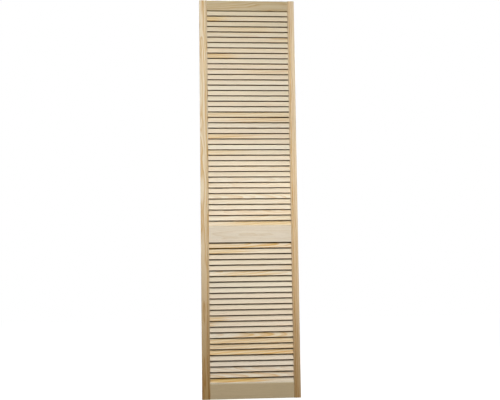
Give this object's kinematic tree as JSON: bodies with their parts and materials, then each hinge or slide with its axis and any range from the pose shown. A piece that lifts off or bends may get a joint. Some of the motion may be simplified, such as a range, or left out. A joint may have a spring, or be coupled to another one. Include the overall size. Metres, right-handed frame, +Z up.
{
  "type": "bifold closet door",
  "caption": "Louvred pine bifold closet door, stored folded: stile-and-rail leaves with fixed leaning slats, joined along the fold by butt hinges, with pivot bores in the outer stiles.",
  "frame": {"origin": "mouth of the front leaf's bottom pivot bore, on the bore's axis at the bottom end of the outer stile", "axes": "+Z up along the pivot bores, +X across the leaf from the outer stile to the fold hinges, -Y out of the pictured front face"},
  "size_m": [0.4915, 0.0555, 2.0128],
  "materials": {
    "stile_pine": "bare planed pine, long grain upright",
    "rail_pine": "bare planed pine, long grain across",
    "slat_pine": "bare planed pine, mixed pale and golden boards",
    "dowel_beech": "plain turned beech",
    "hinge_steel": "zinc-plated sheet steel",
    "screw_steel": "zinc-plated steel"
  },
  "bodies": {
    "front_leaf": {"bottom_hinge_front_plate": "hinge_steel", "bottom_hinge_pin": "hinge_steel", "front_bottom_rail": "rail_pine", "front_fold_stile": "stile_pine", "front_hinge_screws": "screw_steel", "front_lower_slats_1": "slat_pine", "front_lower_slats_2": "slat_pine", "front_lower_slats_3": "slat_pine", "front_lower_slats_4": "slat_pine", "front_lower_slats_5": "slat_pine", "front_middle_rail": "rail_pine", "front_outer_stile": "stile_pine", "front_rail_dowels": "dowel_beech", "front_top_rail": "rail_pine", "front_upper_slats_1": "slat_pine", "front_upper_slats_2": "slat_pine", "front_upper_slats_3": "slat_pine", "front_upper_slats_4": "slat_pine", "front_upper_slats_5": "slat_pine", "front_upper_slats_6": "slat_pine", "front_upper_slats_7": "slat_pine", "front_upper_slats_8": "slat_pine", "middle_hinge_front_plate": "hinge_steel", "middle_hinge_pin": "hinge_steel", "top_hinge_front_plate": "hinge_steel", "top_hinge_pin": "hinge_steel"},
    "rear_leaf": {"bottom_hinge_rear_plate": "hinge_steel", "middle_hinge_rear_plate": "hinge_steel", "rear_bottom_rail": "rail_pine", "rear_fold_stile": "stile_pine", "rear_hinge_screws": "screw_steel", "rear_lower_slats_1": "slat_pine", "rear_lower_slats_2": "slat_pine", "rear_lower_slats_3": "slat_pine", "rear_lower_slats_4": "slat_pine", "rear_lower_slats_5": "slat_pine", "rear_middle_rail": "rail_pine", "rear_outer_stile": "stile_pine", "rear_rail_dowels": "dowel_beech", "rear_top_rail": "rail_pine", "rear_upper_slats_1": "slat_pine", "rear_upper_slats_2": "slat_pine", "rear_upper_slats_3": "slat_pine", "rear_upper_slats_4": "slat_pine", "rear_upper_slats_5": "slat_pine", "rear_upper_slats_6": "slat_pine", "rear_upper_slats_7": "slat_pine", "rear_upper_slats_8": "slat_pine", "top_hinge_rear_plate": "hinge_steel"}
  },
  "joints": [
    {"name": "fold", "type": "hinge", "parent": "front_leaf", "child": "rear_leaf", "pos_m": [0.476, 0.01525, 0], "axis": [0, 0, -1], "range_deg": [0, 180]}
  ]
}
